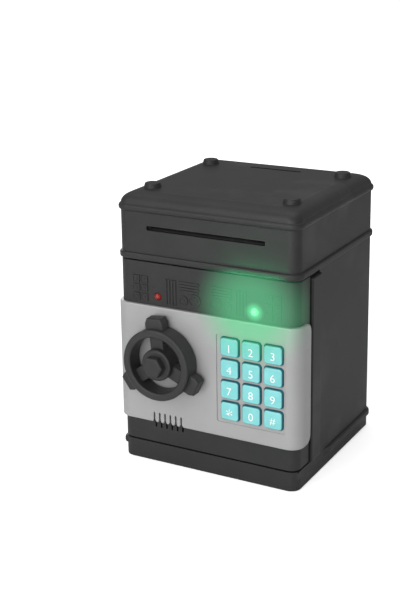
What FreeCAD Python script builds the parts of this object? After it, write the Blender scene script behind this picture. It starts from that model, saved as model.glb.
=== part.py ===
"""Toy savings bank in the shape of a small safe: a box with a banknote feeder in its head, a coin slot in
its cap, and a front door with a keypad, a handwheel lock and two lamps.

Millimetres. +Z is up, the door faces -Y, and +X is the hinge side of the door. The functions draw each
sub-part about the middle of the box; at the end all of them move by TO_ORIGIN, so that the origin lies on
the ground under the middle of the whole outline, handwheel included. PARTS names the sub-parts.
"""

import FreeCAD
import Part

import math
import os

V = FreeCAD.Vector

# ---------------------------------------------------------------- driving sizes
WIDTH = 128.0  # box, side wall to side wall
DEPTH = 124.0  # box, front face to back face
CORNER_R = 7.0  # vertical corners, in plan
WALL = 2.4

Z_FOOT = 0.3  # underside of the base
Z_BASE = 13.4  # top of the base
Z_HEAD = 139.8  # underside of the head
Z_CAP = 171.5  # underside of the cap
Z_RIM = 176.0  # top of the cap's rim
Z_TOP = 183.0  # flat top of the cap
STUD_H = 3.2  # studs on the cap
STUD_XY = ((49.8, 40.0), (-49.8, 40.0), (49.8, -40.0), (-49.8, -40.0))

DOOR_GAP = 0.8  # above and below the door
DOOR_REAR = -44.0  # rear edge of the door's side walls
PLATE_T = 2.2  # silver front plate, proud of the door
PLATE_Z = (29.5, 110.3)
HINGE = (60.0, -49.5)  # door hinge axis, x and y
KNOB = (-29.0, 75.0)  # handwheel axis, x and z

KEY_X = (18.5, 33.7, 48.9)
KEY_Z = (91.7, 77.3, 62.9, 48.5)
KEY_NAMES = (("1", "2", "3"), ("4", "5", "6"), ("7", "8", "9"), ("star", "0", "hash"))
KEY_W = 12.9
KEY_H = 12.3
KEY_TRAVEL = 1.2
KEY_GAP = 0.45

SLOT_Z = 161.5  # banknote path
SLOT_W = 84.0
SLOT_H = 3.0
COIN_Y = 41.0
COIN_W = 38.0
COIN_T = 3.2

FEED_Y = -38.0  # feed and pinch rollers
FEED_R = 7.0
FEED_SHAFT_R = 2.0
PINCH_R = 5.0
PINCH_SHAFT_R = 1.6
ROLLER_GAP = 0.3
FEED_Z = SLOT_Z - FEED_R - ROLLER_GAP / 2
PINCH_Z = SLOT_Z + PINCH_R + ROLLER_GAP / 2
ROLLER_X = 20.0
MOTOR_Y = 14.0
MOTOR_Z = 156.0
MOTOR_R = 10.0
MOTOR_SHAFT_R = 1.0
MOTOR_FLAT = 7.7  # half thickness across its flats
BELT_X = -53.5
BELT_W = 3.0
BELT_T = 1.2
FEED_PULLEY_R = 8.0
MOTOR_PULLEY_R = 4.0

LAMP = (34.7, 116.7)  # lamp centre, x (both sides) and z
LAMP_R = 2.45
SPEAKER = (-28.0, 37.0)
SPEAKER_R = 14.0
GRILLE_SLOTS = 6
GRILLE_PITCH = 4.05
GRILLE_W = 1.3
GRILLE_TOP = 36.8
SCREW_XY = ((56.0, 54.5), (-56.0, 54.5), (56.0, -24.0), (-56.0, -24.0))  # base to body, and body to head
CAP_SCREW_XY = ((50.0, -53.0), (-50.0, -53.0), (38.0, 55.5), (-38.0, 55.5))  # head to cap
FOOT_XY = ((48.0, 46.0), (-48.0, 46.0), (48.0, -50.0), (-48.0, -50.0))
FOOT_R = 6.0
FOOT_TOP = 1.8  # the pads are sunk in pockets under the base
BASE_OUT = 1.7  # the bead round the base stands out this far

# ---------------------------------------------------------------- worked out from them
HX = WIDTH / 2
HY = DEPTH / 2
FRONT = -HY
FRONT_IN = FRONT + WALL
SIDE_IN = HX - WALL
PLATE_FRONT = FRONT - PLATE_T
DOOR_Z = (Z_BASE + DOOR_GAP, Z_HEAD - DOOR_GAP)

FAR = 100.0  # well outside the box, for cutters
HIGH = 200.0  # well above it
INSIDE = -50.0  # y of a plane inside the door, where cutters through its front end
RUN = 0.05  # radial clearance of a shaft that turns
SNUG = 0.02  # gap between fixed parts that touch
PILOT_R = 1.2  # hole that a screw bites into
CLEAR_R = 1.45  # hole that a screw passes through
SINK_R = 2.9  # counterbore for a screw's head
WIRE_R = 0.7

Z_DECK = Z_HEAD + 2.2  # top of the head's floor and of the deck in it
GUIDE_X = 45.0  # half width of the banknote guides
CHEEK_T = 2.0  # their side plates
CHEEKS = (-GUIDE_X, GUIDE_X - CHEEK_T)  # left faces of the two side plates

FRAME_Y = (-40.8, -38.8)  # the body's front frame, behind the door
FRAME_X = (-54.0, 51.0)  # its opening
FRAME_Z = (22.6, 131.0)
HINGE_SIDE_Y = -41.6  # front edge of the right side wall, just clear of the door's swing
LATCH_SIDE_Y = -43.4  # front edge of the left side wall

COVER_Y = (-46.2, -44.2)  # door back cover
COVER_Z = (16.6, 136.6)
COVER_SCREWS = ((-56.5, 21.5), (-56.5, 131.5), (50.0, 21.5), (50.0, 131.5), (-2.0, 21.5), (-2.0, 131.5))
HINGE_BOSS_R = 3.6
PIN_R = 1.5

FLOOR_Z = (19.6, 21.4)  # vault floor
CELL_R = 7.1
CELL_L = 50.0
CELL_PITCH = 14.6
CELL_Y = 5.0
CELL_Z = 10.6
BATTERY_X = 29.5  # half length of the battery bay
BATTERY_Y = (-17.2, 27.2)
BATTERY_ROOF = 18.0
LID_Z = (1.2, 2.8)  # battery lid
LID_X = 32.0
LID_Y = (-21.6, 32.0)  # the second is the hinge line
LID_AXIS_Z = 2.0
LID_SCREW_Y = -19.4

RECESS_X = (8.8, 57.2)  # shallow recess around the keys
RECESS_Z = (39.8, 99.4)
RECESS_D = 0.6
KEY_PROUD = 2.2  # above the recess floor
KEY_FRONT = PLATE_FRONT + RECESS_D - KEY_PROUD
KEY_FLANGE = (-61.9, -61.0)  # holds the key behind the plate
KEY_FOOT = -59.9  # end of its stem, over the dome
MAT_Y = (-57.6, -56.6)
BOARD_Y = (-56.6, -55.2)

DISC_R = 9.0  # lock disc on the handwheel shaft
DISC_Y = (-54.5, -51.5)
PLUNGER_Y = (DISC_Y[0] + DISC_Y[1]) / 2
PLUNGER_R = 1.8
PLUNGER_TIP = KNOB[1] + DISC_R + 0.5
PLUNGER_TRAVEL = 4.0
COLLAR_Z = (PLUNGER_TIP + PLUNGER_TRAVEL, PLUNGER_TIP + PLUNGER_TRAVEL + 0.8)
COIL_X = (KNOB[0] - 7.0, KNOB[0] + 7.0)
COIL_Y = (-58.6, -47.4)
COIL_Z = (93.0, 111.0)
LEVER_Y = (-38.3, -35.8)
HEAD_POST_TOP = 145.2
CAP_SCREW_Z = 152.0  # underside of the cap screws' heads
SHAFT_R = 3.0

HARNESS_X = 60.0  # battery wires, where they climb the right wall
HARNESS_Y = 43.5

WHEEL_R = 24.0
WHEEL_Y = (-77.4, -65.4)  # front and back of the wheel's rim
HUB_FRONT = -76.4
HEX_FRONT = -81.4
SPOKES = (-5.5, 114.5, 234.5)  # clockwise from straight up, in degrees

CAP_OUT = 1.5  # the cap's rim stands out this far all round
TO_ORIGIN = V(0, -(HEX_FRONT + HY + BASE_OUT) / 2, 0)


# ---------------------------------------------------------------- shape helpers
def box(x0, x1, y0, y1, z0, z1):
    """Block between two corners."""
    return Part.makeBox(x1 - x0, y1 - y0, z1 - z0, V(x0, y0, z0))


def cyl(x, y, z, r, h, axis=V(0, 0, 1)):
    """Cylinder from the middle of its first end."""
    return Part.makeCylinder(r, h, V(x, y, z), axis)


def cyl_y(x, z, r, y0, y1):
    """Cylinder along Y."""
    return cyl(x, y0, z, r, y1 - y0, V(0, 1, 0))


def cyl_x(y, z, r, x0, x1):
    """Cylinder along X."""
    return cyl(x0, y, z, r, x1 - x0, V(1, 0, 0))


def outline(x0, x1, y0, y1, r, z):
    """Closed wire: a rounded rectangle in the plane z."""
    k = r * (1 - math.sqrt(0.5))
    corners = (
        (V(x0 + r, y0, z), V(x0 + k, y0 + k, z), V(x0, y0 + r, z)),
        (V(x0, y1 - r, z), V(x0 + k, y1 - k, z), V(x0 + r, y1, z)),
        (V(x1 - r, y1, z), V(x1 - k, y1 - k, z), V(x1, y1 - r, z)),
        (V(x1, y0 + r, z), V(x1 - k, y0 + k, z), V(x1 - r, y0, z)),
    )
    edges = []
    for i, (a, m, b) in enumerate(corners):
        edges.append(Part.Arc(a, m, b).toShape())
        edges.append(Part.makeLine(b, corners[(i + 1) % 4][0]))
    return Part.Wire(edges)


def rounded(x0, x1, y0, y1, r, z0, z1):
    """Block with rounded vertical corners."""
    return Part.Face(outline(x0, x1, y0, y1, r, z0)).extrude(V(0, 0, z1 - z0))


def body_block(grow, z0, z1):
    """The box's own plan outline, grown outwards (or shrunk when negative), as a block."""
    return rounded(-HX - grow, HX + grow, -HY - grow, HY + grow, CORNER_R + grow, z0, z1)


def plan_block(inset, z0, z1, r=4.0):
    """A block with small corners that fits inside the walls."""
    return rounded(-HX + inset, HX - inset, -HY + inset, HY - inset, r, z0, z1)


def upright(x0, x1, z0, z1, r, y0, y1):
    """Block with its rounded corners seen from the front."""
    wire = outline(x0, x1, z0, z1, r, 0)
    solid = Part.Face(wire).extrude(V(0, 0, y1 - y0))
    solid.rotate(V(0, 0, 0), V(1, 0, 0), 90)
    solid.translate(V(0, y1, 0))
    return solid


def prism(points, move):
    """A closed polygon pushed along a vector."""
    return Part.Face(Part.makePolygon(list(points) + [points[0]])).extrude(move)


def fuse(first, *others):
    """One solid, without the seams between its pieces."""
    return first.fuse(list(others)).removeSplitter()


def group(shapes):
    """Separate solids that share one node."""
    return Part.makeCompound(list(shapes))


def round_edges(shape, radius, wanted):
    """Fillets the edges that wanted(edge bounding box) picks."""
    return shape.makeFillet(radius, [e for e in shape.Edges if wanted(e.BoundBox)])


def flat_at(value, tol=0.01):
    """Picks the edges that lie in the horizontal plane z = value."""
    return lambda b: abs(b.ZMin - value) < tol and abs(b.ZMax - value) < tol


def bead(grow, z0, z1, r):
    """Solid disc of the box's outline with a rounded edge, before its middle is cut away."""
    disc = body_block(grow, z0, z1)
    disc = round_edges(disc, r, flat_at(z1))
    return round_edges(disc, r, flat_at(z0))


def wire_run(points, r):
    """A round wire through the points, with ball corners."""
    solids = [Part.makeSphere(r, p) for p in points[1:-1]]
    for a, b in zip(points[:-1], points[1:]):
        solids.append(Part.makeCylinder(r, (b - a).Length, a, b - a))
    return fuse(solids[0], *solids[1:])


def coil(x, y, z, r, wire, height, turns):
    """A round-wire spring standing on (x, y, z)."""
    helix = Part.makeHelix(height / turns, height, r)
    profile = Part.Wire([Part.makeCircle(wire, V(r, 0, 0), V(0, 1, 0))])
    spring = Part.Wire(helix.Edges).makePipeShell([profile], True, True)
    spring.translate(V(x, y, z))
    return spring


def slot_cutter(x, z0, z1, width, y0, y1):
    """Vertical slot with round ends, cut along Y."""
    half = width / 2
    middle = box(x - half, x + half, y0, y1, z0 + half, z1 - half)
    return fuse(middle, cyl_y(x, z0 + half, half, y0, y1), cyl_y(x, z1 - half, half, y0, y1))


def screw_up(x, y, z_head, length, head_r=2.6, head_h=1.6, shank_r=1.15):
    """Pan-head screw that points up, with a cross slot in its head."""
    head = round_edges(cyl(x, y, z_head, head_r, head_h), 0.5, flat_at(z_head))
    solid = fuse(head, cyl(x, y, z_head + head_h, shank_r, length))
    reach = 1.5
    half = 0.35
    deep = 0.8
    for a, b in ((reach, half), (half, reach)):
        solid = solid.cut(box(x - a, x + a, y - b, y + b, z_head - 1, z_head + deep))
    return solid


# ---------------------------------------------------------------- base
def base_tray():
    """Foot of the box: a beaded tray with the battery bay, screw pillars and the lower hinge boss."""
    z_plate = 3.4
    bead_z = (8.2, 13.2)
    boss_h = Z_BASE - z_plate + 0.5
    bay_wall = 1.6
    shell = body_block(0, Z_FOOT, Z_BASE)
    shell = round_edges(shell, 0.8, flat_at(Z_FOOT))
    ring = bead(BASE_OUT, bead_z[0], bead_z[1], 1.65)
    ring = ring.cut(box(-FAR, FAR, -FAR, FRONT + 2.5, 0, 20))
    ring = ring.cut(box(HX, FAR, -FAR, -20.0, 0, 20))
    fade = ((HX, -21.0), (HX, -20.0), (HX + BASE_OUT, -11.0), (HX + 4, -11.0), (HX + 4, -21.0))
    ring = ring.cut(prism([V(x, y, 0) for x, y in fade], V(0, 0, 20)))
    shell = fuse(shell, ring)
    shell = shell.cut(plan_block(WALL, z_plate, Z_BASE + 1))
    ledge = plan_block(WALL, Z_BASE - 2.0, Z_BASE).common(box(-FAR, FAR, -FAR, -41.6, 0, 20))
    web = box(-SIDE_IN, SIDE_IN, -43.6, -41.6, z_plate - 0.5, Z_BASE - 1)
    frame = box(-LID_X - 2.6, LID_X + 2.6, LID_Y[0] - 2.4, LID_Y[1] + 2.6, Z_FOOT, 5.2)
    bay_y = (BATTERY_Y[0] - bay_wall, BATTERY_Y[1] + bay_wall)
    bay = box(-BATTERY_X - bay_wall, BATTERY_X + bay_wall, bay_y[0], bay_y[1], 4.0, BATTERY_ROOF + 1.4)
    pillars = [cyl(x, y, z_plate - 0.5, 3.5, boss_h) for x, y in SCREW_XY]
    hinge_boss = cyl(HINGE[0], HINGE[1], z_plate - 0.5, HINGE_BOSS_R, boss_h)
    shell = fuse(shell, ledge, web, frame, bay, hinge_boss, *pillars)
    shell = shell.cut(box(-BATTERY_X, BATTERY_X, BATTERY_Y[0], BATTERY_Y[1], 0, BATTERY_ROOF))
    shell = shell.cut(box(-LID_X - 0.4, LID_X + 0.4, LID_Y[0] - 0.4, LID_Y[1] + 1.1, 0, LID_Z[1] + 0.1))
    for side in (-1, 1):
        a, b = sorted((side * LID_X, side * (LID_X + 2.0)))
        shell = shell.cut(cyl_x(LID_Y[1], LID_AXIS_Z, 0.85, a, b))
    shell = shell.cut(cyl(0, LID_SCREW_Y, 0, 1.7, 12))
    shell = shell.cut(cyl(HINGE[0], HINGE[1], 4.8, PIN_R + RUN, 20))
    for x, y in SCREW_XY:
        shell = shell.cut(cyl(x, y, 0, CLEAR_R, 20)).cut(cyl(x, y, 0, SINK_R + 0.1, 3.0))
    for x, y in FOOT_XY:
        shell = shell.cut(cyl(x, y, -1, FOOT_R + SNUG, FOOT_TOP + SNUG + 1))
    return shell


def battery_lid():
    """Lid over the cells, with its hinge barrel, grip grooves and a countersunk hole for its screw."""
    y0, y1 = LID_Y
    lid = box(-LID_X, LID_X, y0, y1, LID_Z[0], LID_Z[1])
    lid = fuse(lid, cyl_x(y1, LID_AXIS_Z, 0.8, -LID_X - 1.6, LID_X + 1.6))
    lid = lid.cut(cyl(0, LID_SCREW_Y, 0, 2.5, LID_Z[0] + 0.9)).cut(cyl(0, LID_SCREW_Y, 0, 1.25, 9))
    grip_x = 9.0
    for i in range(5):
        y = 14.0 + 3.0 * i
        lid = lid.cut(box(-grip_x, grip_x, y, y + 1.2, 0, LID_Z[0] + 0.4))
    return lid


def battery_lid_screw():
    """The one screw that holds the lid shut."""
    return screw_up(0, LID_SCREW_Y, LID_Z[0] + 0.1, 5.0, head_r=2.3, head_h=0.8, shank_r=1.1)


def cell_rows():
    """The y of each cell's axis."""
    return [CELL_Y + CELL_PITCH * k for k in (-1, 0, 1)]


def batteries():
    """Three cells side by side, the middle one turned round."""
    nub_r = 2.7
    nub_h = 1.8
    cells = []
    for k, y in enumerate(cell_rows()):
        can = cyl_x(y, CELL_Z, CELL_R, -CELL_L / 2 + 0.6, CELL_L / 2 - nub_h)
        nub = cyl_x(y, CELL_Z, nub_r, CELL_L / 2 - nub_h - 0.2, CELL_L / 2)
        cell = fuse(can, nub)
        if k == 1:
            cell.rotate(V(0, y, CELL_Z), V(0, 0, 1), 180)
        cells.append(cell)
    return group(cells)


def battery_contacts():
    """A plate with a bowed leaf spring at each cell's flat end, and a folded strip at its nub end."""
    solids = []
    for k, y in enumerate(cell_rows()):
        end = -1 if k != 1 else 1
        wall = end * BATTERY_X
        face = wall - end * 0.4
        crest = wall - end * 4.6
        plate = box(min(wall, face), max(wall, face), y - 5.5, y + 5.5, CELL_Z - 5.5, CELL_Z + 5.5)
        bow = ((face, -5.0), (crest, -1.2), (crest, 1.2), (face, 5.0))
        hollow = ((face, -4.3), (crest + end * 0.4, -1.0), (crest + end * 0.4, 1.0), (face, 4.3))
        leaf = prism([V(x, y - 2.5, CELL_Z + z) for x, z in bow], V(0, 5.0, 0))
        leaf = leaf.cut(prism([V(x, y - 3.0, CELL_Z + z) for x, z in hollow], V(0, 6.0, 0)))
        solids.append(fuse(plate, leaf))
        far = sorted((-wall, -wall + end * 4.4))
        strip = box(far[0], far[1], y - 3.0, y + 3.0, CELL_Z - 3.0, CELL_Z + 3.0)
        inner = sorted((-wall - end * 1.0, -wall + end * 4.0))
        solids.append(strip.cut(box(inner[0], inner[1], y - 2.6, y + 4.0, CELL_Z - 4.0, CELL_Z + 4.0)))
    return group(solids)


def rubber_feet():
    """Round pads glued into pockets under the base."""
    return group(round_edges(cyl(x, y, 0, FOOT_R, FOOT_TOP), 0.25, flat_at(0)) for x, y in FOOT_XY)


def wire_notch():
    """Room for the battery wires, in the plates they pass on their way up the right wall."""
    return box(HARNESS_X - 1.4, HX, HARNESS_Y - 1.4, HARNESS_Y + 3.6, 0, HIGH)


def vault_floor():
    """Floor of the vault, notched round the screw posts."""
    floor = box(-SIDE_IN + 0.2, SIDE_IN - 0.2, FRAME_Y[1] + 0.1, HY - WALL - 0.2, FLOOR_Z[0], FLOOR_Z[1])
    room = 3.9
    for x, y in SCREW_XY:
        x0, x1 = sorted((x - math.copysign(room, x), math.copysign(HX, x)))
        far = HY if y > 0 else y + room
        floor = floor.cut(box(x0, x1, y - room, far, 0, 40))
    return floor.cut(wire_notch())


# ---------------------------------------------------------------- body
def wall_post(x, y, z0, z1):
    """Screw post and the web that ties it to the side wall."""
    wall = sorted((x, math.copysign(SIDE_IN + 0.5, x)))
    return [cyl(x, y, z0, 3.6, z1 - z0), box(wall[0], wall[1], y - 2.0, y + 2.0, z0, z1)]


def pilaster(side, y0):
    """Flat raised strip on a side wall, behind the door's edge."""
    proud = 1.3
    width = 13.5
    x0, x1 = sorted((side * (HX - 0.5), side * (HX + proud)))
    strip = box(x0, x1, y0, y0 + width, Z_BASE + 0.2, Z_HEAD - 2.6)
    outer = side * (HX + proud)
    on_face = lambda b: abs(b.XMin - outer) < 0.01 and abs(b.XMax - outer) < 0.01
    return round_edges(strip, 1.0, on_face)


def body_shell():
    """The box's walls, with the frame behind the door, a pilaster on each side and the screw posts."""
    outer = body_block(0, Z_BASE, Z_HEAD)
    inner = plan_block(WALL, Z_BASE - 1, Z_HEAD + 1)
    shell = outer.cut(inner)
    shell = shell.cut(box(-FAR, 0, -FAR, LATCH_SIDE_Y, 0, HIGH))
    shell = shell.cut(box(0, FAR, -FAR, HINGE_SIDE_Y, 0, HIGH))
    frame = box(-SIDE_IN - 0.5, SIDE_IN + 0.5, FRAME_Y[0], FRAME_Y[1], Z_BASE, Z_HEAD)
    frame = frame.cut(box(SIDE_IN - 0.1, FAR, -FAR, HINGE_SIDE_Y, 0, HIGH))
    frame = frame.cut(upright(FRAME_X[0], FRAME_X[1], FRAME_Z[0], FRAME_Z[1], 3.0, -45, 0))
    extra = [frame, pilaster(1, HINGE_SIDE_Y), pilaster(-1, LATCH_SIDE_Y)]
    for x, y in SCREW_XY:
        extra += wall_post(x, y, Z_BASE, 30.0) + wall_post(x, y, 132.6, Z_HEAD)
    shell = fuse(shell, *extra)
    for x, y in SCREW_XY:
        shell = shell.cut(cyl(x, y, 0, PILOT_R, 28.0))
        shell = shell.cut(cyl(x, y, 120, CLEAR_R, 30)).cut(cyl(x, y, 120, SINK_R, 14.8))
    for side, y in ((1, HINGE_SIDE_Y), (-1, LATCH_SIDE_Y)):
        x0, x1 = sorted((side * (HX - 1.4), side * (HX + 5)))
        shell = shell.cut(box(x0, x1, y - 1, y + 12.5, Z_HEAD - 2.4, Z_HEAD + 1))
    return shell


def body_screws():
    """Base to body."""
    return group(screw_up(x, y, 1.4, 22.0) for x, y in SCREW_XY)


# ---------------------------------------------------------------- head
def head_shell():
    """The box's head, with the bead at its foot, the banknote's mouth, and posts for the screws."""
    shell = body_block(0, Z_HEAD, Z_CAP - SNUG)
    shell = fuse(shell, bead(1.4, Z_HEAD, Z_HEAD + 4.6, 1.35))
    shell = shell.cut(plan_block(WALL, Z_DECK, Z_CAP + 1))
    deck_hole = plan_block(WALL, Z_HEAD - 1, Z_DECK + 1).common(box(-FAR, FAR, -41.2, FAR, 0, HIGH))
    shell = shell.cut(deck_hole)
    solids = [cyl(HINGE[0], HINGE[1], Z_HEAD, HINGE_BOSS_R, 9.2)]
    for x, y in SCREW_XY:
        solids += wall_post(x, y, Z_DECK, HEAD_POST_TOP)
    for x, y in CAP_SCREW_XY:
        low = Z_DECK - 0.5 if y < 0 else CAP_SCREW_Z
        solids.append(cyl(x, y, low, 4.2, Z_CAP - SNUG - low))
        wall = sorted((y, math.copysign(HY - 1.0, y)))
        solids.append(box(x - 1.0, x + 1.0, wall[0], wall[1], low, Z_CAP - SNUG))
    shell = fuse(shell, *solids)
    shell = shell.cut(cyl(HINGE[0], HINGE[1], Z_HEAD - 5, PIN_R + RUN, 13.0))
    for x, y in SCREW_XY:
        shell = shell.cut(cyl(x, y, 120, PILOT_R, 80))
    for x, y in CAP_SCREW_XY:
        shell = shell.cut(cyl(x, y, 120, CLEAR_R, 80)).cut(cyl(x, y, 120, SINK_R, CAP_SCREW_Z + 1.6 - 120))
    low, high = SLOT_Z - SLOT_H / 2, SLOT_Z + SLOT_H / 2
    mouth = upright(-SLOT_W / 2, SLOT_W / 2, low, high, 0.8, -FAR, FRONT_IN + 1)
    return shell.cut(mouth)


def head_screws():
    """Body to head."""
    return group(screw_up(x, y, 133.1, 10.0) for x, y in SCREW_XY)


def cap_screws():
    """Head to cap."""
    return group(screw_up(x, y, CAP_SCREW_Z, 22.5) for x, y in CAP_SCREW_XY)


def mechanism_deck():
    """Floor under the feeder, open below the note's chute and the coin chute, with the motor's cradle."""
    deck = box(-SIDE_IN + 0.2, SIDE_IN - 0.2, -41.0, HY - WALL - 0.2, Z_HEAD + SNUG, Z_DECK - SNUG)
    deck = deck.cut(box(-41.0, 41.0, -28.4, -9.4, 0, HIGH))
    deck = deck.cut(box(-COIN_W / 2 - 1, COIN_W / 2 + 1, COIN_Y - 1.8, COIN_Y + 1.8, 0, HIGH))
    for x, y in SCREW_XY:
        deck = deck.cut(cyl(x, y, 0, CLEAR_R, HIGH))
    for side in (-1, 1):
        deck = deck.cut(cyl(side * SIDE_IN, HY - WALL, 0, 4.4, HIGH))
    deck = deck.cut(wire_notch())
    cradle = box(-43, -24, MOTOR_Y - 12.5, MOTOR_Y + 12.5, Z_HEAD + 1.0, MOTOR_Z)
    bed = MOTOR_Z - MOTOR_FLAT - SNUG
    cradle = cradle.cut(box(-FAR, 0, MOTOR_Y - MOTOR_R - 0.1, MOTOR_Y + MOTOR_R + 0.1, bed, HIGH))
    return fuse(deck, cradle)


def top_cap():
    """Lid of the head: a beaded rim, a domed shoulder, a flat top with four studs, and the coin slot."""
    shoulder = 12.0
    full = 0.85  # below 1, the shoulder bulges out further than an ellipse
    rise = Z_TOP - Z_RIM + 0.6
    rim = bead(CAP_OUT, Z_CAP, Z_RIM, 1.95)
    rings = []
    for step in range(6):
        a = math.radians(18.0 * step)
        inset = shoulder * (1 - max(0.0, math.cos(a)) ** full)
        z = Z_TOP - rise * (1 - math.sin(a) ** full)
        rings.append(outline(-HX + inset, HX - inset, -HY + inset, HY - inset, CORNER_R, z))
    dome = Part.makeLoft(rings, True, False)
    studs = []
    for x, y in STUD_XY:
        stud = Part.makeCone(6.9, 5.0, 4.0 + STUD_H, V(x, y, Z_TOP - 4.0))
        studs.append(round_edges(stud, 0.9, flat_at(Z_TOP + STUD_H)))
    cap = fuse(rim, dome, *studs)
    cap = cap.cut(plan_block(WALL + 0.2, Z_CAP - 1, 175.4))
    cap = cap.cut(plan_block(13.5, 175.0, Z_TOP - 2.2))
    lip = plan_block(WALL + 0.15, Z_CAP - 2.8, 175.6).cut(plan_block(WALL + 1.7, 0, HIGH))
    posts = []
    for x, y in CAP_SCREW_XY:
        posts.append(cyl(x, y, Z_CAP + SNUG, 4.0, 6.5))
        wall = sorted((y, math.copysign(FAR, y)))
        lip = lip.cut(cyl(x, y, 0, 4.5, Z_CAP + SNUG))
        lip = lip.cut(box(x - 1.3, x + 1.3, wall[0], wall[1], 0, Z_CAP))
    lip = lip.cut(cyl(HINGE[0], HINGE[1], 0, 5.0, Z_CAP))
    cap = fuse(cap, lip, *posts)
    for x, y in CAP_SCREW_XY:
        cap = cap.cut(cyl(x, y, 160, PILOT_R, 16.8))
    slot = rounded(-COIN_W / 2, COIN_W / 2, COIN_Y - COIN_T / 2, COIN_Y + COIN_T / 2, 1.2, 170, HIGH)
    return cap.cut(slot)


def coin_chute():
    """Flat tube from the coin slot down to the vault."""
    x = COIN_W / 2 + 1
    tube = box(-x - 1.4, x + 1.4, COIN_Y - 3.2, COIN_Y + 3.2, Z_DECK, Z_TOP - 2.3)
    flange = box(-x - 5, x + 5, COIN_Y - 6.5, COIN_Y + 6.5, Z_DECK, Z_DECK + 1.6)
    return fuse(tube, flange).cut(box(-x, x, COIN_Y - 1.8, COIN_Y + 1.8, 0, HIGH))


# ---------------------------------------------------------------- banknote feeder
def bill_guide_lower():
    """Table under the note, on two side plates that straddle the feed shaft."""
    front = FRONT_IN + 0.1
    rear = -28.9
    z_table = SLOT_Z - 2.1
    shaft_room = 3.0
    table = box(-GUIDE_X, GUIDE_X, front, -45.6, z_table - 1.8, z_table)
    legs = [box(x, x + CHEEK_T, front, rear, Z_DECK, z_table) for x in CHEEKS]
    back = box(-GUIDE_X, GUIDE_X, rear - 1.6, rear, Z_DECK, 156)
    guide = fuse(table, back, *legs)
    for x in CHEEKS:
        guide = guide.cut(cyl_x(FEED_Y, FEED_Z, shaft_room, x - 1, x + 3))
        guide = guide.cut(box(x - 1, x + 3, FEED_Y - shaft_room, FEED_Y + shaft_room, FEED_Z, 170))
    return guide


def bill_guide_upper():
    """Hood over the note, and a curved chute that turns it down into the vault."""
    thick = 1.6
    front = FRONT_IN + 0.1
    rear = -28.0
    low = SLOT_Z - 2.0
    z_in = SLOT_Z + 2.2
    hood = box(-GUIDE_X, GUIDE_X, front, -44.6, z_in, z_in + thick)
    cheeks = [box(x, x + CHEEK_T, front, rear, low, z_in + thick) for x in CHEEKS]
    radius = 21.6
    y_c = -31.2
    z_c = Z_DECK + 0.2
    outer = cyl_x(y_c, z_c, radius + thick, -GUIDE_X, GUIDE_X)
    arc = outer.cut(cyl_x(y_c, z_c, radius, -FAR, FAR)).common(box(-FAR, FAR, y_c, 0, z_c, HIGH))
    cheeks += [box(x, x + CHEEK_T, -45.4, rear, low, PINCH_Z + 4.4) for x in CHEEKS]
    guide = fuse(arc, hood, *cheeks)
    pinch_room = 2.6
    for x in CHEEKS:
        guide = guide.cut(cyl_x(FEED_Y, PINCH_Z, pinch_room, x - 1, x + 3))
        guide = guide.cut(cyl_x(FEED_Y, FEED_Z, 3.0, x - 1, x + 3))
        guide = guide.cut(box(x - 1, x + 3, FEED_Y - pinch_room, FEED_Y + pinch_room, low - 1, PINCH_Z))
    return guide


def roller_brackets():
    """Two steel plates with the bearings of both shafts."""
    plates = []
    for x in (-48.6, 46.4):
        plate = box(x, x + 2.2, FEED_Y - 8, FEED_Y + 8, Z_DECK, PINCH_Z + 4.4)
        plate = plate.cut(cyl_x(FEED_Y, FEED_Z, FEED_SHAFT_R + RUN, x - 1, x + 4))
        plates.append(plate.cut(cyl_x(FEED_Y, PINCH_Z, PINCH_SHAFT_R + RUN, x - 1, x + 4)))
    return group(plates)


def feed_shaft():
    """Driven shaft under the note."""
    return cyl_x(FEED_Y, FEED_Z, FEED_SHAFT_R, -56.5, 50.5)


def rollers(z, radius, bore, width):
    """A pair of grooved rubber tyres on one shaft."""
    solids = []
    for x in (-ROLLER_X, ROLLER_X):
        tyre = cyl_x(FEED_Y, z, radius, x - width / 2, x + width / 2)
        for k in (-1, 0, 1):
            groove = cyl_x(FEED_Y, z, radius + 1, x + 3 * k - 0.4, x + 3 * k + 0.4)
            tyre = tyre.cut(groove.cut(cyl_x(FEED_Y, z, radius - 0.5, x - 20, x + 20)))
        solids.append(tyre.cut(cyl_x(FEED_Y, z, bore, x - width, x + width)))
    return group(solids)


def feed_rollers():
    """Drive the note from below."""
    return rollers(FEED_Z, FEED_R, FEED_SHAFT_R, 14.0)


def pinch_shaft():
    """Idle shaft over the note."""
    return cyl_x(FEED_Y, PINCH_Z, PINCH_SHAFT_R, -49.5, 49.5)


def pinch_rollers():
    """Press the note onto the feed rollers."""
    return rollers(PINCH_Z, PINCH_R, PINCH_SHAFT_R, 12.0)


def pulley(y, z, radius, bore):
    """Flanged wheel for the flat belt."""
    flange = 1.3
    x0 = BELT_X - BELT_W / 2 - 0.2
    x1 = BELT_X + BELT_W / 2 + 0.2
    wheel = cyl_x(y, z, radius, x0 - 0.1, x1 + 0.1)
    sides = [cyl_x(y, z, radius + flange, a, a + 0.8) for a in (x0 - 0.8, x1)]
    return fuse(wheel, *sides).cut(cyl_x(y, z, bore, -FAR, 0))


def feed_pulley():
    """The belt's wheel on the feed shaft."""
    return pulley(FEED_Y, FEED_Z, FEED_PULLEY_R, FEED_SHAFT_R)


def motor_pulley():
    """The belt's wheel on the motor."""
    return pulley(MOTOR_Y, MOTOR_Z, MOTOR_PULLEY_R, MOTOR_SHAFT_R)


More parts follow.
